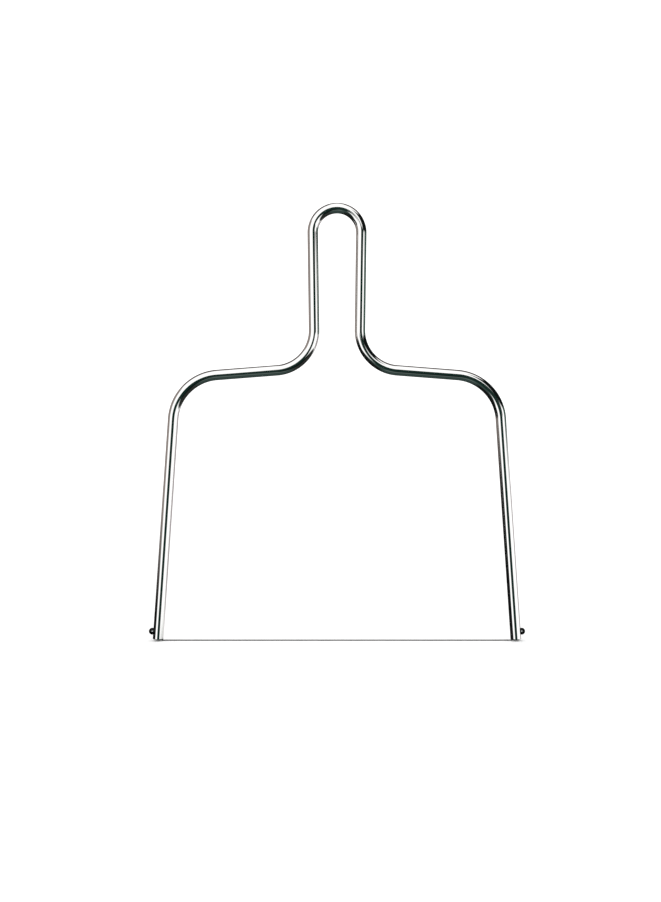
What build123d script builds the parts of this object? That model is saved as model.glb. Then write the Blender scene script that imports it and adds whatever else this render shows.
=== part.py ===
# Cheese wire cutter: one steel tube bent into a bow, with a taut cutting wire across its mouth.
# Millimetres. The bow stands in the XZ plane with its handle up, X runs along the wire,
# and Z = 0 is the underside of the wire.

from build123d import *
from math import cos, radians, sin, sqrt
import os

# ---- overall sizes ----
overall_height = 404.0       # underside of the wire to the top of the handle loop
cut_width = 320.0            # clear wire between the two legs

# ---- bent tube ----
tube_diameter = 10.0
tube_wall = 1.0
loop_radius = 22.4           # bend radii are to the tube's centreline
flare_radius = 37.0          # where the handle opens into a shoulder
corner_radius = 43.5         # where a shoulder turns down into a leg
handle_straight = 89.5       # straight run on each side of the handle
handle_taper = 0.8           # degrees that each handle side leans in on its way down
shoulder_slope = 4.4         # degrees that each shoulder falls towards its leg
leg_splay = 3.9              # degrees that each leg leans out on its way down
mouth_rounding = 0.3         # deburred edges of the open tube ends

# ---- wire and its ball ends ----
wire_diameter = 1.0
wire_clearance = 0.05        # between the wire and the rim that it bears on
wire_bend_radius = 1.2       # where the wire turns up over the rim, to its centreline
ball_diameter = 6.35
seat_diameter = 6.1          # hole in a leg's outer wall, a little smaller than the ball
seat_height = 7.0            # seat centre to the tube's end, along the leg
seat_clearance = 0.03        # between the ball and the edge of its seat
slot_width = 1.4             # saw cut from the seat down to the tube's mouth
crimp_clearance = 0.02       # between the wire and the hole through a ball
wire_end_recess = 0.1        # how far the wire's end stops short of the ball's surface

os.makedirs("parts", exist_ok=True)

tube_radius = tube_diameter / 2
bore_radius = tube_radius - tube_wall
wire_radius = wire_diameter / 2
ball_radius = ball_diameter / 2
taper = radians(handle_taper)
slope = radians(shoulder_slope)
splay = radians(leg_splay)

# ---- right leg: its end, and the directions along and across it ----
leg_up = Vector(-sin(splay), 0, cos(splay))
leg_out = Vector(cos(splay), 0, sin(splay))
rim_height = wire_diameter + wire_clearance
leg_end = Vector(
    cut_width / 2 + tube_radius * cos(splay), 0, rim_height + tube_radius * sin(splay)
)

# ---- the bow's straight runs that the sizes above leave open ----
# Walk down the right half from the top of the loop to the end of the flare.
loop_centre_z = overall_height - tube_radius - loop_radius
handle_foot_x = loop_radius * cos(taper) - handle_straight * sin(taper)
handle_foot_z = loop_centre_z - loop_radius * sin(taper) - handle_straight * cos(taper)
flare_end_x = handle_foot_x + flare_radius * (cos(taper) - sin(slope))
flare_end_z = handle_foot_z - flare_radius * (sin(taper) + cos(slope))
# What is left to reach the leg's end is shared by the shoulder and the leg.
reach_x = leg_end.X - flare_end_x - corner_radius * (cos(splay) - sin(slope))
reach_z = flare_end_z - leg_end.Z - corner_radius * (cos(slope) - sin(splay))
shoulder_straight = (reach_x * cos(splay) - reach_z * sin(splay)) / cos(slope + splay)
leg_straight = (reach_z * cos(slope) - reach_x * sin(slope)) / cos(slope + splay)

# ---- bend schedule from the left leg's end: straight run, then turn in degrees, then radius ----
corner_turn = 90 - leg_splay - shoulder_slope
flare_turn = 90 + handle_taper - shoulder_slope
loop_turn = 180 + 2 * handle_taper
bend_schedule = [
    (leg_straight, -corner_turn, corner_radius),
    (shoulder_straight, flare_turn, flare_radius),
    (handle_straight, -loop_turn, loop_radius),
    (handle_straight, flare_turn, flare_radius),
    (shoulder_straight, -corner_turn, corner_radius),
]


def leg_plane(side, along, across):
    """Plane at a leg, facing away from the bow. side is 1 for the right leg and -1 for the left."""
    place = leg_end + leg_up * along + leg_out * across
    return Plane(
        origin=(side * place.X, 0, place.Z),
        x_dir=(0, 1, 0),
        z_dir=(side * leg_out.X, 0, leg_out.Z),
    )


# ---- bow: one tube, open at both ends ----
with BuildPart() as bow_frame:
    with BuildLine(Plane.XZ) as bow_line:
        start = (-leg_end.X, leg_end.Z)
        heading = 90 - leg_splay
        for straight, turn, radius in bend_schedule:
            run = PolarLine(start, straight, heading)
            bend = JernArc(run @ 1, run % 1, radius, turn)
            start = bend @ 1
            heading += turn
        PolarLine(start, leg_straight, heading)
    with BuildSketch(Plane(origin=bow_line.wires()[0] @ 0, z_dir=bow_line.wires()[0] % 0)):
        Circle(tube_radius)
        Circle(bore_radius, mode=Mode.SUBTRACT)
    sweep(path=bow_line.wires()[0])
    mouth_faces = bow_frame.faces().filter_by(GeomType.PLANE)
    fillet(mouth_faces.edges(), mouth_rounding)
    # ball seats in the outer walls, and the saw cuts that let the wire in from the mouth
    for side in (-1, 1):
        with BuildSketch(leg_plane(side, seat_height, 0)):
            Circle(seat_diameter / 2)
        extrude(amount=tube_diameter, mode=Mode.SUBTRACT)
        with BuildSketch(leg_plane(side, seat_height / 2 - tube_wall, 0)):
            Rectangle(slot_width, seat_height + 2 * tube_wall)
        extrude(amount=tube_diameter, mode=Mode.SUBTRACT)
bow_frame.part.label = "bow_frame"
export_step(bow_frame.part, "parts/bow_frame.step")

# ---- right ball centre: it rests on the edge of its seat, its centre just outside the wall ----
seat_lift = sqrt(ball_radius**2 - (seat_diameter / 2) ** 2) + seat_clearance
ball_centre = leg_end + leg_up * seat_height + leg_out * (tube_radius + seat_lift)

# ---- the wire turns up where it meets the edge of the bore ----
wire_turn = Vector(leg_end.X - bore_radius * cos(splay), 0, wire_radius)
wire_rise = (ball_centre - wire_turn).normalized()
wire_tip = ball_centre + wire_rise * (ball_radius - wire_end_recess)

# ---- cutting wire: ball to ball, through both mouths and under both rims ----
with BuildPart() as cutting_wire:
    with BuildLine(Plane.XZ) as wire_line:
        FilletPolyline(
            (-wire_tip.X, wire_tip.Z),
            (-wire_turn.X, wire_turn.Z),
            (wire_turn.X, wire_turn.Z),
            (wire_tip.X, wire_tip.Z),
            radius=wire_bend_radius,
        )
    with BuildSketch(Plane(origin=wire_line.wires()[0] @ 0, z_dir=wire_line.wires()[0] % 0)):
        Circle(wire_radius)
    sweep(path=wire_line.wires()[0])
cutting_wire.part.label = "cutting_wire"
export_step(cutting_wire.part, "parts/cutting_wire.step")


def ball_end(side, name):
    """A ball crimped on the wire's end, drilled through along the wire."""
    with BuildPart() as ball:
        with Locations((side * ball_centre.X, 0, ball_centre.Z)):
            Sphere(ball_radius)
        with BuildSketch(
            Plane(
                origin=(side * ball_centre.X, 0, ball_centre.Z),
                z_dir=(side * wire_rise.X, 0, wire_rise.Z),
            )
        ):
            Circle(wire_radius + crimp_clearance)
        extrude(amount=ball_diameter, both=True, mode=Mode.SUBTRACT)
    ball.part.label = name
    export_step(ball.part, f"parts/{name}.step")


ball_end(-1, "left_ball_end")
ball_end(1, "right_ball_end")

tube_length = sum(
    straight + radians(abs(turn)) * radius for straight, turn, radius in bend_schedule
)
tube_length += leg_straight
print(f"shoulder straight {shoulder_straight:.1f}, leg straight {leg_straight:.1f}")
print(f"tube length {tube_length:.1f}, wire ball to ball {wire_line.wires()[0].length:.1f}")
print(f"ball centre {ball_centre.X:.2f}, {ball_centre.Z:.2f}, leg end {leg_end.X:.2f}, {leg_end.Z:.2f}")
print(f"handle foot {handle_foot_x:.2f}, {handle_foot_z:.2f}, flare end {flare_end_x:.2f}, {flare_end_z:.2f}")
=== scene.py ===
# Cheese wire cutter: a bow bent from one polished tube, a taut wire and its two ball ends.
# Everything is in metres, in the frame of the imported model: the wire runs along X, the handle is up.

import bmesh
import bpy
from math import asin, atan2, cos, degrees, pi, radians, sin, sqrt, tan
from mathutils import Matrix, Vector
from mathutils.geometry import delaunay_2d_cdt


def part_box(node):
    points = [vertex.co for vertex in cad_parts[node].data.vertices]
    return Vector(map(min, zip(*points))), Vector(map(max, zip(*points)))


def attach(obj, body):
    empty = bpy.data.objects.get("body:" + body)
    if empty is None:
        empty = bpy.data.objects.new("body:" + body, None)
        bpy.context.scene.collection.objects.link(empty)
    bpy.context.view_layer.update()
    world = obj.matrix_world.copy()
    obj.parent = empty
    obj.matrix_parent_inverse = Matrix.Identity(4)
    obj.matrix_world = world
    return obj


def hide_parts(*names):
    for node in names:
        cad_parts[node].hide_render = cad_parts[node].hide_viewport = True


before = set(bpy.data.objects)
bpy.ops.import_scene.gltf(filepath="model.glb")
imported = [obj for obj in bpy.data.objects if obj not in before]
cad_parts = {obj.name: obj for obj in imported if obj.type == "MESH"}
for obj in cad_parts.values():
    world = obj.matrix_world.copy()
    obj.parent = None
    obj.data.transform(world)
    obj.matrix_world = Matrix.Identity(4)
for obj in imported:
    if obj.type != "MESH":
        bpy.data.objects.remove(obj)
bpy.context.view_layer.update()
bowLow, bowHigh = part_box("bow_frame")
wireLow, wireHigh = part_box("cutting_wire")
mm = 0.001


# A socket that can be written in sums, so a pattern reads as its formula.
class Flow:
    def __init__(self, board, socket):
        self.board = board
        self.socket = socket

    def sum(self, operation, first, second=0.0):
        return self.board.add("ShaderNodeMath", {"operation": operation}, {0: first, 1: second})

    def __add__(self, other):
        return self.sum("ADD", self, other)

    def __radd__(self, other):
        return self.sum("ADD", other, self)

    def __sub__(self, other):
        return self.sum("SUBTRACT", self, other)

    def __rsub__(self, other):
        return self.sum("SUBTRACT", other, self)

    def __mul__(self, other):
        return self.sum("MULTIPLY", self, other)

    def __rmul__(self, other):
        return self.sum("MULTIPLY", other, self)

    def __truediv__(self, other):
        return self.sum("DIVIDE", self, other)

    def __rtruediv__(self, other):
        return self.sum("DIVIDE", other, self)

    def __neg__(self):
        return self.sum("MULTIPLY", self, -1.0)

    def __abs__(self):
        return self.sum("ABSOLUTE", self)

    def beside(self, name):        # another output of the same node
        return Flow(self.board, self.socket.node.outputs[name])


class Board:
    def __init__(self, tree):
        self.tree = tree

    # One way in for every node: its type, its settings, then the values or links of its sockets.
    def add(self, kind, settings=None, sockets=None, out=0):
        node = self.tree.nodes.new(kind)
        for name, value in (settings or {}).items():
            setattr(node, name, value)
        for key, value in (sockets or {}).items():
            if isinstance(value, Flow):
                self.tree.links.new(value.socket, node.inputs[key])
            elif isinstance(value, list):        # several links into one socket
                for part in value:
                    self.tree.links.new(part.socket, node.inputs[key])
            else:
                node.inputs[key].default_value = value
        return Flow(self, node.outputs[out]) if len(node.outputs) else node

    # 0 below low, 1 above high, eased in between
    def ease(self, value, low, high):
        return self.add("ShaderNodeMapRange", {"interpolation_type": "SMOOTHSTEP"},
                        {"Value": value, "From Min": low, "From Max": high})

    def blend(self, factor, first, second):
        return self.add("ShaderNodeMix", {"data_type": "RGBA"},
                        {"Factor": factor, 6: first, 7: second}, out=2)


def newMaterial(name):
    material = bpy.data.materials.new(name)
    material.use_nodes = True
    material.node_tree.nodes.clear()
    return material, Board(material.node_tree)


def finishMaterial(board, sockets):
    shader = board.add("ShaderNodeBsdfPrincipled", None, sockets)
    board.add("ShaderNodeOutputMaterial", None, {"Surface": shader})


# Camera: square on to the bow from arm's length, a little below its middle.
cameraView = {"distance": 0.9, "across": -0.006, "height": 0.175, "pictureHeight": 0.8324}


def placeCamera():
    camera = bpy.data.cameras.new("pictureCamera")
    camera.sensor_width = 36.0
    camera.lens = camera.sensor_width * cameraView["distance"] / cameraView["pictureHeight"]
    camera.clip_start = 0.05
    camera.clip_end = 50.0
    holder = bpy.data.objects.new("pictureCamera", camera)
    holder.location = (cameraView["across"], -cameraView["distance"], cameraView["height"])
    holder.rotation_euler = (radians(90.0), 0.0, 0.0)
    bpy.context.scene.collection.objects.link(holder)
    bpy.context.scene.camera = holder
    bpy.context.scene.view_settings.view_transform = "Standard"


placeCamera()
print("camera placed")


# Studio: a white tent round the cutter, with darker cards on it for the polished tube to mirror.
# Only mirror rays see the tent. Places on it are seen from its middle, in degrees: azimuth 0 is towards
# the camera and grows to the right, elevation 0 is level. The edges of a card are that soft.
studio = {
    "tentRadius": 5.0,
    "tentMiddle": 0.2,
    "tent": (1.45, 1.45, 1.45),
    "ground": (0.045, 0.070, 0.064),
    "groundTop": -20.0,
    "groundEdge": 10.0,
    "softLight": 1.35,
    "cards": {
        "lowerRight": {"azimuth": 110.0, "width": 120.0, "edge": 20.0, "low": -62.0, "high": -19.5,
                      "edgeUp": 8.0, "colour": (0.03, 0.033, 0.03)},
        "lowerLeft": {"azimuth": -105.0, "width": 110.0, "edge": 20.0, "low": -62.0, "high": -20.0,
                      "edgeUp": 8.0, "colour": (0.012, 0.014, 0.013)},
        "lowerGlint": {"azimuth": 0.0, "width": 50.0, "edge": 20.0, "low": -56.0, "high": -46.0,
                       "edgeUp": 6.0, "colour": (0.18, 0.24, 0.22)},
        "rightFoot": {"azimuth": 26.0, "width": 52.0, "edge": 20.0, "low": -48.0, "high": -19.0,
                     "edgeUp": 6.0, "colour": (0.004, 0.006, 0.006)},
        "rearTop": {"azimuth": 180.0, "width": 190.0, "edge": 20.0, "low": 25.0, "high": 78.0,
                   "edgeUp": 10.0, "colour": (0.1, 0.085, 0.08)},
        "leftRear": {"azimuth": -113.0, "width": 94.0, "edge": 8.0, "low": -20.0, "high": 36.0,
                    "edgeUp": 6.0, "colour": (0.36, 0.31, 0.29)},
        "leftRearFoot": {"azimuth": -108.0, "width": 104.0, "edge": 8.0, "low": -62.0, "high": -4.0,
                        "edgeUp": 8.0, "colour": (0.008, 0.009, 0.009)},
        "rightRear": {"azimuth": 118.0, "width": 88.0, "edge": 10.0, "low": 2.0, "high": 24.0,
                     "edgeUp": 6.0, "colour": (0.08, 0.13, 0.11)},
        "upperRight": {"azimuth": 84.0, "width": 108.0, "edge": 14.0, "low": 15.0, "high": 50.0,
                      "edgeUp": 6.0, "colour": (0.006, 0.008, 0.008)},
        "rightPale": {"azimuth": 131.0, "width": 62.0, "edge": 8.0, "low": -16.0, "high": 2.0,
                     "edgeUp": 6.0, "colour": (0.5, 0.45, 0.46)},
        "frontLow": {"azimuth": 5.0, "width": 50.0, "edge": 8.0, "low": -28.0, "high": 6.0,
                    "edgeUp": 3.0, "colour": (0.01, 0.03, 0.024)},
        "frontHigh": {"azimuth": 19.0, "width": 46.0, "edge": 6.0, "low": 5.0, "high": 18.0,
                     "edgeUp": 3.0, "colour": (0.008, 0.026, 0.02)},
    },
    "ballLamp": {"across": 0.7, "distance": 0.95, "power": 60.0},        # only the balls see it
    "floor": {"half": 4.0, "colour": 0.86},
}


def tentLining():
    material, board = newMaterial("tentLining")
    place = board.add("ShaderNodeTexCoord", out="Object")
    middle = Vector((0.0, 0.0, studio["tentMiddle"]))
    seen = board.add("ShaderNodeVectorMath", {"operation": "SUBTRACT"}, {0: place, 1: middle})
    heading = board.add("ShaderNodeVectorMath", {"operation": "NORMALIZE"}, {0: seen})
    right = board.add("ShaderNodeSeparateXYZ", None, {0: heading})
    azimuth = right.sum("ARCTAN2", right, -right.beside("Y")) * degrees(1.0)
    elevation = right.sum("ARCSINE", right.beside("Z")) * degrees(1.0)
    top, soft = studio["groundTop"], studio["groundEdge"] / 2
    lit = board.ease(elevation, top - soft, top + soft)
    lining = board.blend(lit, (*studio["ground"], 1.0), (*studio["tent"], 1.0))
    for card in studio["cards"].values():
        turned = azimuth - card["azimuth"]
        apart = board.add("ShaderNodeMath", {"operation": "WRAP"}, {0: turned, 1: 180.0, 2: -180.0})
        half, soft, rise = card["width"] / 2, card["edge"] / 2, card["edgeUp"] / 2
        side = 1.0 - board.ease(abs(apart), half - soft, half + soft)
        above = board.ease(elevation, card["low"] - rise, card["low"] + rise)
        below = 1.0 - board.ease(elevation, card["high"] - rise, card["high"] + rise)
        lining = board.blend(side * above * below, lining, (*card["colour"], 1.0))
    light = board.add("ShaderNodeEmission", None, {"Color": lining, "Strength": 1.0})
    board.add("ShaderNodeOutputMaterial", None, {"Surface": light})
    material.cycles.emission_sampling = "NONE"
    return material


def pitchTent():
    shape = bmesh.new()
    bmesh.ops.create_uvsphere(shape, u_segments=96, v_segments=48, radius=studio["tentRadius"])
    bmesh.ops.translate(shape, verts=shape.verts, vec=(0.0, 0.0, studio["tentMiddle"]))
    mesh = bpy.data.meshes.new("studioTent")
    shape.to_mesh(mesh)
    shape.free()
    mesh.materials.append(tentLining())
    tent = bpy.data.objects.new("studioTent", mesh)
    bpy.context.scene.collection.objects.link(tent)
    tent.visible_camera = False
    tent.visible_diffuse = False
    tent.visible_transmission = False
    tent.visible_shadow = False


def lightBalls(balls):
    shine = bpy.data.lights.new("ballLamp", "AREA")
    shine.shape = "DISK"
    shine.size = studio["ballLamp"]["across"]
    shine.energy = studio["ballLamp"]["power"]
    lamp = bpy.data.objects.new("ballLamp", shine)
    lamp.location = (cameraView["across"], -studio["ballLamp"]["distance"], cameraView["height"])
    lamp.rotation_euler = (radians(90.0), 0.0, 0.0)
    lamp.visible_camera = False
    bpy.context.scene.collection.objects.link(lamp)
    lit = bpy.data.collections.new("litBalls")
    for one in balls:
        lit.objects.link(one)
    lamp.light_linking.receiver_collection = lit


def softLight():
    world = bpy.data.worlds.new("softLight")
    world.use_nodes = True
    world.node_tree.nodes.clear()
    bpy.context.scene.world = world
    board = Board(world.node_tree)
    plain = board.add("ShaderNodeBackground", None, {"Color": (1.0, 1.0, 1.0, 1.0),
                                                     "Strength": studio["softLight"]})
    board.add("ShaderNodeOutputWorld", None, {"Surface": plain})


def layFloor():
    half = studio["floor"]["half"]
    mesh = bpy.data.meshes.new("studioFloor")
    corners = [(-half, -half, 0.0), (half, -half, 0.0), (half, half, 0.0), (-half, half, 0.0)]
    mesh.from_pydata(corners, [], [(0, 1, 2, 3)])
    floor = bpy.data.objects.new("studioFloor", mesh)
    bpy.context.scene.collection.objects.link(floor)
    material, board = newMaterial("paleFloor")
    tone = studio["floor"]["colour"]
    grain = board.add("ShaderNodeTexNoise", None, {"Scale": 60.0, "Detail": 4.0})
    shade = board.blend(grain, (tone, tone, tone, 1.0), (tone + 0.03, tone + 0.03, tone + 0.03, 1.0))
    finishMaterial(board, {"Base Color": shade, "Roughness": 0.9, "Specular IOR Level": 0.0})
    mesh.materials.append(material)
    floor.visible_glossy = False        # the tube mirrors the tent, not the floor


pitchTent()
softLight()
layFloor()
print("studio built")


# Finishes. Scales are in waves per metre, depths in metres.
tubeFinish = {
    "steel": (0.74, 0.74, 0.73),
    "roughness": 0.035,
    "smudgeScale": 45.0,
    "smudgeRough": 0.035,        # how much rougher a finger smudge is
    "smudgeDull": 0.94,        # and how much darker
    "buffing": (9000.0, 9000.0, 260.0),        # twice across the tube, then along it
    "buffingDepth": 0.00002,
    "buffingRough": 0.02,
    "hairlines": (2200.0, 2200.0, 30.0),
    "hairlineRough": 0.06,
}
boreFinish = {
    "steel": (0.34, 0.33, 0.31),
    "roughness": 0.42,
    "scale": 900.0,        # of the grain that drawing left inside
    "scaleDark": 0.55,
    "scaleDepth": 0.00003,
}
# The wire's near-black steel colour is painted shade, far darker than the wire's own steel; the worn
# mottling on it is wear.
wireFinish = {
    "steel": (0.045, 0.042, 0.04),
    "roughness": 0.28,
    "dieLines": (160.0, 14000.0, 14000.0),
    "dieLineDepth": 0.00001,
    "wornScale": 70.0,
    "wornDark": 0.8,
}
# The balls' near-black steel colour is painted dark reflection: polished steel darkened to the look of
# its mirrored dark surroundings. The lighter scuffs are wear.
ballFinish = {
    "steel": (0.013, 0.014, 0.014),
    "roughness": 0.16,
    "scuff": (0.05, 0.05, 0.05),
    "scuffScale": 420.0,
    "mottleScale": 1400.0,
    "mottleDepth": 0.00002,
}


def darker(colour, amount):
    return tuple(part * amount for part in colour)


def polishedTube():
    material, board = newMaterial("polishedTube")
    place = board.add("ShaderNodeTexCoord", out="Object")
    run = board.add("ShaderNodeAttribute", {"attribute_name": "tubeSpace"}, out="Vector")
    stretched = board.add("ShaderNodeVectorMath", {"operation": "MULTIPLY"},
                          {0: run, 1: tubeFinish["buffing"]})
    buffing = board.add("ShaderNodeTexNoise", None, {"Vector": stretched, "Scale": 1.0, "Detail": 3.0})
    smudge = board.add("ShaderNodeTexNoise", None, {"Vector": place, "Scale": tubeFinish["smudgeScale"],
                                                    "Detail": 5.0, "Roughness": 0.6})
    handled = board.ease(smudge, 0.48, 0.72)
    scratchPlace = board.add("ShaderNodeVectorMath", {"operation": "MULTIPLY"},
                             {0: run, 1: tubeFinish["hairlines"]})
    scratches = board.add("ShaderNodeTexNoise", None,
                          {"Vector": scratchPlace, "Scale": 1.0, "Detail": 2.0})
    hairline = board.ease(scratches, 0.66, 0.70)
    steel = tubeFinish["steel"]
    dulled = darker(steel, tubeFinish["smudgeDull"])
    colour = board.blend(handled * 0.7, (*steel, 1.0), (*dulled, 1.0))
    rough = (tubeFinish["roughness"] + handled * tubeFinish["smudgeRough"]
             + buffing * tubeFinish["buffingRough"] + hairline * tubeFinish["hairlineRough"])
    bump = board.add("ShaderNodeBump", None, {"Strength": 0.05, "Distance": tubeFinish["buffingDepth"],
                                              "Height": buffing - hairline * 0.6})
    finishMaterial(board, {"Base Color": colour, "Metallic": 1.0, "Roughness": rough, "Normal": bump})
    return material


def tubeBore():
    material, board = newMaterial("tubeBore")
    place = board.add("ShaderNodeTexCoord", out="Object")
    scale = board.add("ShaderNodeTexNoise", None, {"Vector": place, "Scale": boreFinish["scale"],
                                                   "Detail": 6.0})
    steel = boreFinish["steel"]
    darkened = darker(steel, boreFinish["scaleDark"])
    colour = board.blend(board.ease(scale, 0.35, 0.65), (*steel, 1.0), (*darkened, 1.0))
    rough = boreFinish["roughness"] + scale * 0.2
    bump = board.add("ShaderNodeBump", None, {"Strength": 0.3, "Distance": boreFinish["scaleDepth"],
                                              "Height": scale})
    finishMaterial(board, {"Base Color": colour, "Metallic": 1.0, "Roughness": rough, "Normal": bump})
    return material


def drawnWirePaintedShade():
    material, board = newMaterial("drawnWirePaintedShade")
    place = board.add("ShaderNodeTexCoord", out="Object")
    along = board.add("ShaderNodeVectorMath", {"operation": "MULTIPLY"},
                      {0: place, 1: wireFinish["dieLines"]})
    dieLines = board.add("ShaderNodeTexNoise", None, {"Vector": along, "Scale": 1.0, "Detail": 3.0})
    worn = board.add("ShaderNodeTexNoise", None, {"Vector": place, "Scale": wireFinish["wornScale"],
                                                  "Detail": 3.0})
    # near-black base colour: painted shade on the wire
    steel = wireFinish["steel"]
    rubbed = darker(steel, wireFinish["wornDark"])
    colour = board.blend(board.ease(worn, 0.4, 0.65), (*steel, 1.0), (*rubbed, 1.0))
    rough = wireFinish["roughness"] + dieLines * 0.12
    bump = board.add("ShaderNodeBump", None, {"Strength": 0.2, "Distance": wireFinish["dieLineDepth"],
                                              "Height": dieLines})
    finishMaterial(board, {"Base Color": colour, "Metallic": 1.0, "Roughness": rough, "Normal": bump})
    return material


def paintedDarkBall():
    material, board = newMaterial("paintedDarkBall")
    place = board.add("ShaderNodeTexCoord", out="Object")
    mottle = board.add("ShaderNodeTexNoise", None, {"Vector": place, "Scale": ballFinish["mottleScale"],
                                                    "Detail": 4.0})
    scuffs = board.add("ShaderNodeTexNoise", None, {"Vector": place, "Scale": ballFinish["scuffScale"],
                                                    "Detail": 6.0, "Distortion": 1.5})
    worn = board.ease(scuffs, 0.62, 0.74)
    # near-black base colour: painted dark reflection on the balls
    paintedDarkTone = ballFinish["steel"]
    colour = board.blend(worn * 0.5, (*paintedDarkTone, 1.0), (*ballFinish["scuff"], 1.0))
    rough = ballFinish["roughness"] + mottle * 0.06 + worn * 0.12
    bump = board.add("ShaderNodeBump", None, {"Strength": 0.15, "Distance": ballFinish["mottleDepth"],
                                              "Height": mottle})
    finishMaterial(board, {"Base Color": colour, "Metallic": 1.0, "Roughness": rough, "Normal": bump})
    return material


steelTube, steelBore, wirePaintedShadeMaterial, paintedDarkBallMaterial = polishedTube(), tubeBore(), drawnWirePaintedShade(), paintedDarkBall()
print("finishes mixed")


# Every finished piece rides on the one body and replaces its plain node.
def finishPiece(piece, node):
    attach(piece, "root")
    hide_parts(node)


def pieceFrom(mesh, name):
    piece = bpy.data.objects.new(name, mesh)
    bpy.context.scene.collection.objects.link(piece)
    return piece


# A centreline of straight runs whose corners are rounded, swept with a round section.
def sweepTree():
    tree = bpy.data.node_groups.new("sweepRoundStock", "GeometryNodeTree")
    face = tree.interface
    face.new_socket("Geometry", in_out="INPUT", socket_type="NodeSocketGeometry")
    sizes = {}
    for name, kind in (("Outer Radius", "Float"), ("Bore Radius", "Float"), ("Bend Steps", "Int"),
                       ("Step", "Float"), ("Around", "Int"), ("Wave Depth", "Float"),
                       ("Wave Length", "Float"), ("Still Below", "Float"), ("Seed", "Int")):
        sizes[name] = face.new_socket(name, in_out="INPUT", socket_type="NodeSocket" + kind).identifier
    for name in ("Skin", "Bore"):
        sizes[name] = face.new_socket(name, in_out="INPUT", socket_type="NodeSocketMaterial").identifier
    face.new_socket("Geometry", in_out="OUTPUT", socket_type="NodeSocketGeometry")
    board = Board(tree)
    given = board.add("NodeGroupInput")
    line = board.add("GeometryNodeMeshToCurve", None, {0: given})
    bend = board.add("GeometryNodeInputNamedAttribute", {"data_type": "FLOAT"}, {"Name": "bendRadius"})
    rounded = board.add("GeometryNodeFilletCurve", {"mode": "POLY"},
                        {"Curve": line, "Count": given.beside("Bend Steps"), "Radius": bend})

    def skin(step, around, radius):
        spaced = board.add("GeometryNodeResampleCurve", {"mode": "LENGTH"},
                           {"Curve": rounded, "Length": step})
        position = board.add("GeometryNodeInputPosition")
        middle = board.add("GeometryNodeStoreNamedAttribute",
                           {"data_type": "FLOAT_VECTOR", "domain": "POINT"},
                           {0: spaced, "Name": "middle", "Value": position})
        tangent = board.add("GeometryNodeInputTangent")
        headed = board.add("GeometryNodeStoreNamedAttribute",
                           {"data_type": "FLOAT_VECTOR", "domain": "POINT"},
                           {0: middle, "Name": "heading", "Value": tangent})
        length = board.add("GeometryNodeSplineParameter", out="Length")
        measured = board.add("GeometryNodeStoreNamedAttribute", {"data_type": "FLOAT", "domain": "POINT"},
                             {0: headed, "Name": "along", "Value": length})
        ring = board.add("GeometryNodeCurvePrimitiveCircle", None,
                         {"Resolution": around, "Radius": radius})
        return board.add("GeometryNodeCurveToMesh", None, {"Curve": measured, "Profile Curve": ring})

    outside = skin(given.beside("Step"), given.beside("Around"), given.beside("Outer Radius"))
    spot = board.add("GeometryNodeInputPosition")
    wave = board.add("ShaderNodeTexNoise", {"noise_dimensions": "4D"},
                     {"Vector": spot, "W": given.beside("Seed") * 3.7,
                      "Scale": 1.0 / given.beside("Wave Length"), "Detail": 1.0})
    height = board.add("ShaderNodeSeparateXYZ", None, {0: spot}, out="Z")
    still = given.beside("Still Below")
    fade = board.add("ShaderNodeMapRange", {"interpolation_type": "SMOOTHSTEP"},
                     {"Value": height, "From Min": still, "From Max": still * 2.5})
    inward = fade * wave * given.beside("Wave Depth") * -1.0
    outwards = board.add("GeometryNodeInputNormal")
    push = board.add("ShaderNodeVectorMath", {"operation": "SCALE"}, {0: outwards, "Scale": inward})
    waved = board.add("GeometryNodeSetPosition", None, {"Geometry": outside, "Offset": push})
    inside = skin(given.beside("Step") * 2.5, given.beside("Around") * 0.5, given.beside("Bore Radius"))
    turned = board.add("GeometryNodeFlipFaces", None, {0: inside})
    marked = board.add("GeometryNodeStoreNamedAttribute", {"data_type": "BOOLEAN", "domain": "FACE"},
                       {0: turned, "Name": "inBore", "Value": True})
    joined = board.add("GeometryNodeJoinGeometry", None, {0: [waved, marked]})
    real = board.add("GeometryNodeRealizeInstances", None, {0: joined})
    coated = board.add("GeometryNodeSetMaterial", None, {0: real, "Material": given.beside("Skin")})
    bore = board.add("GeometryNodeInputNamedAttribute", {"data_type": "BOOLEAN"}, {"Name": "inBore"})
    lined = board.add("GeometryNodeSetMaterial", None,
                      {0: coated, "Selection": bore, "Material": given.beside("Bore")})
    board.add("NodeGroupOutput", None, {0: lined})
    return tree, sizes


roundStock, roundStockSizes = sweepTree()


# Runs the sweep on a list of corners, each with its bend radius, and gives back a plain mesh.
def sweep(name, corners, bends, values):
    mesh = bpy.data.meshes.new(name + "Line")
    mesh.from_pydata(corners, [(k, k + 1) for k in range(len(corners) - 1)], [])
    radius = mesh.attributes.new("bendRadius", "FLOAT", "POINT")
    for k, value in enumerate(bends):
        radius.data[k].value = value
    carrier = pieceFrom(mesh, name + "Line")
    modifier = carrier.modifiers.new("sweep", "NODES")
    modifier.node_group = roundStock
    for socketName, value in values.items():
        modifier[roundStockSizes[socketName]] = value
    bpy.context.view_layer.update()
    shaped = carrier.evaluated_get(bpy.context.evaluated_depsgraph_get())
    result = bpy.data.meshes.new_from_object(shaped)
    carrier.modifiers.remove(modifier)
    bpy.data.objects.remove(carrier)
    return result


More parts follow.
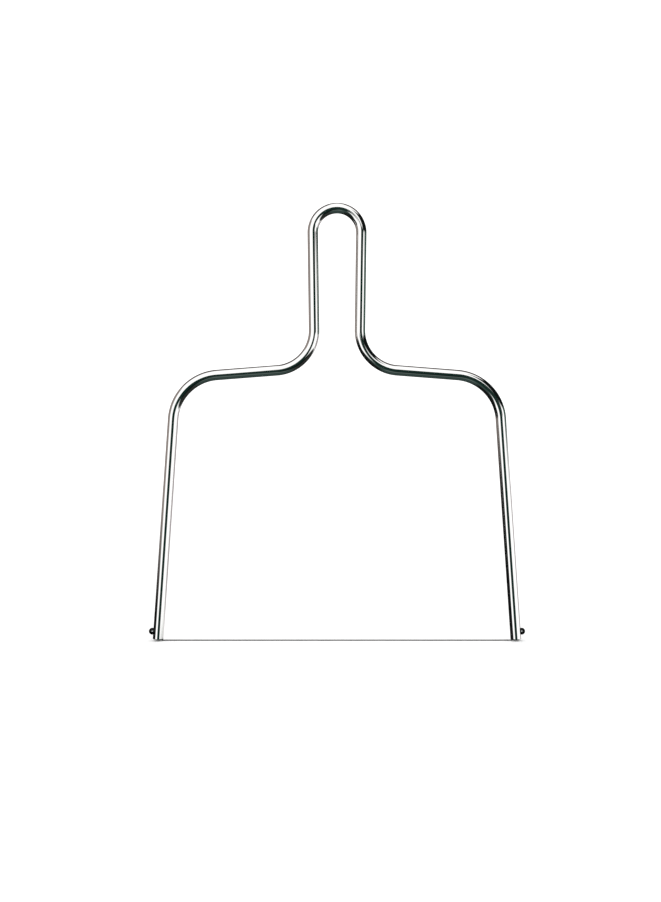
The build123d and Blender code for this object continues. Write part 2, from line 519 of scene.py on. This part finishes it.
# The bow: one tube, bent cold and polished. Lengths are of its centreline.
bow = {
    "clearWire": 320.0 * mm,        # between the inner faces of the legs, at their ends
    "wall": 1.0 * mm,
    "loopRadius": 22.4 * mm,
    "flareRadius": 37.0 * mm,
    "cornerRadius": 43.5 * mm,
    "handleStraight": 89.5 * mm,        # of each side, from the loop to the flare
    "handleTaper": radians(0.8),
    "shoulderSlope": radians(4.4),
    "legSplay": radians(3.9),
    "endPiece": 16.0 * mm,        # the cut end of each leg is made on its own
    "seatHeight": 7.0 * mm,
    "seatWidth": 6.1 * mm,
    "slotWidth": 1.4 * mm,
    "rimRound": 0.5 * mm,        # where the slot meets the mouth
    "throatRound": 0.4 * mm,        # where the slot meets the seat
    "deburr": 0.22 * mm,        # on the outside, round the keyhole
    "mouthRound": 0.65 * mm,        # on the outside, round the mouth
    "boreDeburr": 0.10 * mm,
    "around": 72,
    "step": 1.2 * mm,
    "bendSteps": 96,
    "lipSteps": 5,
    "rimRoundSteps": 5,
    "slotSteps": 10,
    "throatSteps": 4,
    "seatSteps": 28,
    "weldWithin": 0.003 * mm,
    "edgeClear": 0.55,        # the skins' grid keeps this share of its spacing away from an edge
    "flatTolerance": 1e-5,        # in mm, for the flat triangles
    "stillBelow": 20.0 * mm,        # no waviness below this height
    "waveDepth": 0.05 * mm,
    "waveLength": 55.0 * mm,
    "seed": 4,
}

tubeRadius = (bowHigh.y - bowLow.y) / 2
boreRadius = tubeRadius - bow["wall"]
splay = bow["legSplay"]
legUp = Vector((-sin(splay), 0.0, cos(splay)))        # right leg; the left one is its mirror image
legOut = Vector((cos(splay), 0.0, sin(splay)))
rimHeight = bowLow.z
legEnd = Vector((bow["clearWire"] / 2, 0.0, rimHeight)) + legOut * tubeRadius        # middle of the mouth


def mirrored(point):
    return Vector((-point.x, point.y, point.z))


def bowCorners():
    taper, slope = bow["handleTaper"], bow["shoulderSlope"]
    flareReach = bow["flareRadius"] * tan((pi / 2 + taper - slope) / 2)
    loopReach = bow["loopRadius"] * tan((pi / 2 + taper) / 2)
    loopMiddle = bowHigh.z - tubeRadius - bow["loopRadius"]
    loopFoot = Vector((0.0, 0.0, loopMiddle)) + Vector((cos(taper), 0.0, -sin(taper))) * bow["loopRadius"]
    handleDown = Vector((-sin(taper), 0.0, -cos(taper)))
    loopCorner = loopFoot - handleDown * loopReach
    flareCorner = loopFoot + handleDown * (bow["handleStraight"] + flareReach)
    shoulderOut = Vector((cos(slope), 0.0, -sin(slope)))
    gap = legEnd - flareCorner        # where the shoulder's line meets the leg's
    run = (gap.x * legUp.z - gap.z * legUp.x) / (shoulderOut.x * legUp.z - shoulderOut.z * legUp.x)
    shoulderCorner = flareCorner + shoulderOut * run
    start = legEnd + legUp * bow["endPiece"]
    right = [loopCorner, flareCorner, shoulderCorner, start]
    bends = [bow["loopRadius"], bow["flareRadius"], bow["cornerRadius"], 0.0]
    corners = [mirrored(p) for p in reversed(right)] + right
    return corners, list(reversed(bends)) + bends


# The edge of the keyhole and the mouth, laid out flat: sideways y, height t, left to right.
def keyholeHalf():
    half, seat, middle = bow["slotWidth"] / 2, bow["seatWidth"] / 2, bow["seatHeight"]
    rim, throat = bow["rimRound"], bow["throatRound"]
    points = []
    for k in range(bow["rimRoundSteps"] + 1):        # the slot's corner at the mouth
        turn = k / bow["rimRoundSteps"] * pi / 2
        points.append((half + rim * (1 - sin(turn)), rim * (1 - cos(turn))))
    throatHeight = middle - sqrt((seat + throat) ** 2 - (half + throat) ** 2)
    for k in range(1, bow["slotSteps"] + 1):        # up the slot
        points.append((half, rim + (throatHeight - rim) * k / bow["slotSteps"]))
    towards = atan2(middle - throatHeight, -(half + throat))
    for k in range(1, bow["throatSteps"] + 1):        # the rounded corner between slot and seat
        turn = pi + (towards - pi) * k / bow["throatSteps"]
        points.append((half + throat + throat * cos(turn), throatHeight + throat * sin(turn)))
    first = atan2(points[-1][1] - middle, points[-1][0])
    for k in range(1, bow["seatSteps"] + 1):        # round the seat to its top
        turn = first + (pi / 2 - first) * k / bow["seatSteps"]
        points.append((seat * cos(turn), middle + seat * sin(turn)))
    return points


# The same edge as (angle, height) on a skin of that radius, from the tube's inner side all the way round.
def edgeOnSkin(radius, rimSteps):
    half = [(asin(y / radius), t) for y, t in keyholeHalf()]
    first = half[0][0]
    rim = [(pi + (first - pi) * k / rimSteps, 0.0) for k in range(rimSteps)]
    rightSide = rim + half
    leftSide = [(-angle, t) for angle, t in rightSide]
    return leftSide + list(reversed(rightSide))[1:]


def movedInto(edge, radius, amounts):        # the edge, each point moved that far into the metal
    flat = [(angle * radius, t) for angle, t in edge]
    moved = []
    for k, (s, t) in enumerate(flat):
        if k in (0, len(flat) - 1):
            aside, up = 0.0, 1.0
        else:
            before, after = flat[k - 1], flat[k + 1]
            dx, dy = after[0] - before[0], after[1] - before[1]
            size = sqrt(dx * dx + dy * dy)
            aside, up = -dy / size, dx / size
        moved.append(((s + aside * amounts[k]) / radius, t + up * amounts[k]))
    return moved


# One skin of the leg's end, as flat triangles round the edge: (angle, height) points and faces.
def skinRound(edge, radius, around):
    top = bow["endPiece"]
    spacing = 2 * pi * radius / around
    rows = int(top / spacing)
    seam = [(pi, edge[-1][1] + (top - edge[-1][1]) * k / rows) for k in range(1, rows)]
    ring = [(pi - 2 * pi * k / around, top) for k in range(around + 1)]
    outline = list(edge) + seam + ring + [(-angle, t) for angle, t in reversed(seam)]
    points = [Vector((angle * radius, t)) / mm for angle, t in outline]
    face = list(range(len(points)))
    slotHalf, seatHalf = bow["slotWidth"] / 2, bow["seatWidth"] / 2
    margin = bow["edgeClear"] * spacing + bow["deburr"]
    rimMargin = bow["edgeClear"] * spacing + bow["mouthRound"]
    for row in range(1, rows):
        t = edge[-1][1] + (top - edge[-1][1]) * row / rows
        for k in range(1, around):
            angle = pi - 2 * pi * k / around
            y = radius * sin(angle)
            front = abs(angle) < pi / 2
            inSlot = front and abs(y) < slotHalf + margin and t < bow["seatHeight"]
            inSeat = front and sqrt(y * y + (t - bow["seatHeight"]) ** 2) < seatHalf + margin
            if not inSlot and not inSeat and t > rimMargin:
                points.append(Vector((angle * radius, t)) / mm)
    insideOnly = 1
    made = delaunay_2d_cdt(points, [], [face], insideOnly, bow["flatTolerance"])
    flat = [(p.x * mm / radius, p.y * mm) for p in made[0]]
    return flat, [list(f) for f in made[2]]


def addLegEnd(shell, tubeSpace, inBore, side, length):
    up, out = (legUp, legOut) if side > 0 else (mirrored(legUp), mirrored(legOut))
    foot = legEnd if side > 0 else mirrored(legEnd)
    sideways = Vector((0.0, 1.0, 0.0))

    def roll(angle, t, radius):
        return foot + up * t + out * (radius * cos(angle)) + sideways * (radius * sin(angle))

    def vertex(place):
        v = shell.verts.new(place)
        offset = place - foot
        run = length + (bow["endPiece"] - offset.dot(up)) * side
        v[tubeSpace] = Vector((offset.y, offset.dot(out) * side, run))
        return v

    def addSkin(edge, radius, around, bored):
        flat, faces = skinRound(edge, radius, around)
        verts = [vertex(roll(angle, t, radius)) for angle, t in flat]
        for face in faces:
            made = shell.faces.new([verts[k] for k in face])
            made[inBore] = bored

    rimSteps = bow["around"] // 2 - 3
    outerEdge = edgeOnSkin(tubeRadius, rimSteps)
    innerEdge = edgeOnSkin(boreRadius, rimSteps)
    inwards = []
    for (a, t), (b, u) in zip(outerEdge, innerEdge):
        inwards.append((roll(b, u, boreRadius) - roll(a, t, tubeRadius)).normalized())
    rings = []
    outerSizes = []
    for angle, t in outerEdge:        # over the slot's corner the mouth's round becomes the keyhole's
        fade = min(t / bow["rimRound"], 1.0)
        outerSizes.append(bow["mouthRound"] + (bow["deburr"] - bow["mouthRound"]) * fade)
    innerSizes = [bow["boreDeburr"]] * len(innerEdge)
    for radius, edge, sizes, sense in ((tubeRadius, outerEdge, outerSizes, 1.0),
                                       (boreRadius, innerEdge, innerSizes, -1.0)):
        lip = []
        for k in range(bow["lipSteps"] + 1):
            turn = k / bow["lipSteps"] * pi / 2
            moved = movedInto(edge, radius, [size * (1 - sin(turn)) for size in sizes])
            lip.append([roll(a, t, radius) + way * (sense * size * (1 - cos(turn)))
                        for (a, t), way, size in zip(moved, inwards, sizes)])
        rings += lip if sense > 0 else list(reversed(lip))
    made = [[vertex(place) for place in ring] for ring in rings]
    for ringA, ringB in zip(made, made[1:]):
        for k in range(len(ringA) - 1):
            shell.faces.new([ringA[k], ringA[k + 1], ringB[k + 1], ringB[k]])
    addSkin(movedInto(outerEdge, tubeRadius, outerSizes), tubeRadius, bow["around"], False)
    addSkin(movedInto(innerEdge, boreRadius, innerSizes), boreRadius, bow["around"] // 2, True)


def makeBow():
    corners, bends = bowCorners()
    mesh = sweep("bow", corners, bends, {
        "Outer Radius": tubeRadius, "Bore Radius": boreRadius, "Bend Steps": bow["bendSteps"],
        "Step": bow["step"], "Around": bow["around"], "Wave Depth": bow["waveDepth"],
        "Wave Length": bow["waveLength"], "Still Below": bow["stillBelow"], "Seed": bow["seed"],
        "Skin": steelTube, "Bore": steelBore})
    shell = bmesh.new()
    shell.from_mesh(mesh)
    layers = shell.verts.layers
    tubeSpace = layers.float_vector.new("tubeSpace")
    middle, heading = layers.float_vector["middle"], layers.float_vector["heading"]
    along = layers.float["along"]
    longest = 0.0
    for v in shell.verts:
        offset = v.co - v[middle]
        across = v[heading].cross(Vector((0.0, 1.0, 0.0)))
        v[tubeSpace] = Vector((offset.y, offset.dot(across), v[along]))
        longest = max(longest, v[along])
    inBore = shell.faces.layers.bool.get("inBore") or shell.faces.layers.bool.new("inBore")
    print("bow swept:", round(longest / mm), "mm of tube between the end pieces")
    addLegEnd(shell, tubeSpace, inBore, 1.0, longest)
    addLegEnd(shell, tubeSpace, inBore, -1.0, 0.0)
    bmesh.ops.remove_doubles(shell, verts=shell.verts, dist=bow["weldWithin"])
    bmesh.ops.recalc_face_normals(shell, faces=shell.faces)
    for face in shell.faces:
        face.smooth = True
        face.material_index = 1 if face[inBore] else 0
    openEdges = sum(1 for edge in shell.edges if len(edge.link_faces) != 2)
    print("bow closed:", openEdges, "open edges, volume", round(shell.calc_volume() * 1e6, 2), "cm3")
    shell.to_mesh(mesh)
    shell.free()
    mesh.materials.clear()
    mesh.materials.append(steelTube)
    mesh.materials.append(steelBore)
    for name in ("middle", "heading", "along", "bendRadius"):
        layer = mesh.attributes.get(name)
        if layer:
            mesh.attributes.remove(layer)
    mesh.name = "polished_bow"
    finishPiece(pieceFrom(mesh, "polished_bow"), "bow_frame")


makeBow()


# Ball ends: drilled balls, closed on the wire.
ball = {
    "ballDiameter": 6.35 * mm,
    "drilled": 1.04 * mm,
    "holeRound": 0.12 * mm,
    "around": 72,
    "lipSteps": 4,
    "skinSteps": 22,        # from the middle of the ball to the lip
}


def ballMiddle(node):
    low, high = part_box(node)
    return (low + high) / 2


def wireRise(side):        # the way the wire goes, from where it turns at the mouth to the ball
    turn = Vector((legEnd.x - boreRadius * cos(splay), 0.0, wire["diameter"] / 2))
    middle = ballMiddle("right_ball_end")
    rise = (middle - turn).normalized()
    return (turn, middle, rise) if side > 0 else (mirrored(turn), mirrored(middle), mirrored(rise))


def makeBall(side, node, name):
    middle, rise = wireRise(side)[1:]
    radius, hole, lip = ball["ballDiameter"] / 2, ball["drilled"] / 2, ball["holeRound"]
    lipRing = hole + lip        # the lip's arc sits between the bore and the ball's skin
    lipHeight = sqrt((radius - lip) ** 2 - lipRing ** 2)
    skinTurn = atan2(lipHeight, lipRing)
    half = []
    for k in range(ball["lipSteps"] + 1):        # round the lip, from the bore outwards
        angle = pi + (skinTurn - pi) * k / ball["lipSteps"]
        half.append((lipRing + lip * cos(angle), lipHeight + lip * sin(angle)))
    for k in range(1, ball["skinSteps"] + 1):
        angle = skinTurn * (1 - k / ball["skinSteps"])
        half.append((radius * cos(angle), radius * sin(angle)))
    profile = half + [(r, -h) for r, h in reversed(half[:-1])]
    across = Vector((0.0, 1.0, 0.0))
    upright = rise.cross(across)
    mesh = bmesh.new()
    rings = []
    for k in range(ball["around"]):
        angle = 2 * pi * k / ball["around"]
        outward = across * cos(angle) + upright * sin(angle)
        rings.append([mesh.verts.new(middle + outward * r + rise * h) for r, h in profile])
    for k, ring in enumerate(rings):
        after = rings[(k + 1) % len(rings)]
        for j in range(len(profile)):
            following = (j + 1) % len(profile)
            mesh.faces.new([ring[j], ring[following], after[following], after[j]])
    bmesh.ops.recalc_face_normals(mesh, faces=mesh.faces)
    for face in mesh.faces:
        face.smooth = True
    made = bpy.data.meshes.new(name)
    mesh.to_mesh(made)
    mesh.free()
    made.materials.append(paintedDarkBallMaterial)
    piece = pieceFrom(made, name)
    finishPiece(piece, node)
    return piece


# Cutting wire: drawn steel, pulled tight round the lips of the mouths.
wire = {
    "diameter": wireHigh.y - wireLow.y,
    "bendRadius": 1.2 * mm,
    "tipRecess": 0.1 * mm,
    "tipRound": 0.18 * mm,
    "around": 32,
    "bendSteps": 12,
    "riseSteps": 8,
    "tipSteps": 4,
}


def makeWire():
    radius = wire["diameter"] / 2
    turn, middle, rise = wireRise(1.0)
    tip = middle + rise * (ball["ballDiameter"] / 2 - wire["tipRecess"])
    angle = pi - (mirrored(turn) - turn).angle(tip - turn)
    reach = wire["bendRadius"] * tan(angle / 2)
    bendStart = turn - Vector((1.0, 0.0, 0.0)) * reach
    bendMiddle = bendStart + Vector((0.0, 0.0, wire["bendRadius"]))
    level = Vector((1.0, 0.0, 0.0))
    stations = [(Vector((x, 0.0, turn.z)), level) for x in (0.0, bendStart.x / 2, bendStart.x)]
    for k in range(1, wire["bendSteps"] + 1):
        swing = angle * k / wire["bendSteps"]
        place = bendMiddle + Vector((sin(swing), 0.0, -cos(swing))) * wire["bendRadius"]
        stations.append((place, Vector((cos(swing), 0.0, sin(swing)))))
    last = stations[-1][0]
    for k in range(1, wire["riseSteps"] + 1):
        stations.append((last.lerp(tip - rise * wire["tipRound"], k / wire["riseSteps"]), rise))
    rightHalf = [(place, heading, radius) for place, heading in stations]
    for k in range(1, wire["tipSteps"] + 1):        # the tip is rounded off
        swing = k / wire["tipSteps"] * pi / 2
        place = tip - rise * wire["tipRound"] * (1 - sin(swing))
        rightHalf.append((place, rise, radius - wire["tipRound"] * (1 - cos(swing))))
    leftHalf = [(mirrored(p), Vector((h.x, 0.0, -h.z)), r) for p, h, r in reversed(rightHalf[1:])]
    mesh = bmesh.new()
    rings = []
    for place, heading, size in leftHalf + rightHalf:
        upright = Vector((-heading.z, 0.0, heading.x))
        ring = []
        for k in range(wire["around"]):
            angle = 2 * pi * k / wire["around"]
            sideways = Vector((0.0, size * sin(angle), 0.0))
            ring.append(mesh.verts.new(place + upright * (size * cos(angle)) + sideways))
        rings.append(ring)
    for ring, after in zip(rings, rings[1:]):
        for k in range(wire["around"]):
            following = (k + 1) % wire["around"]
            mesh.faces.new([ring[k], ring[following], after[following], after[k]])
    mesh.faces.new(rings[0])
    mesh.faces.new(rings[-1])
    bmesh.ops.recalc_face_normals(mesh, faces=mesh.faces)
    for face in mesh.faces:
        face.smooth = len(face.verts) == 4
    made = bpy.data.meshes.new("cheese_wire")
    mesh.to_mesh(made)
    mesh.free()
    made.materials.append(wirePaintedShadeMaterial)
    finishPiece(pieceFrom(made, "cheese_wire"), "cutting_wire")


makeWire()
rightBall = makeBall(1.0, "right_ball_end", "right_ball")
leftBall = makeBall(-1.0, "left_ball_end", "left_ball")
lightBalls([rightBall, leftBall])
print("wire and ball ends made")
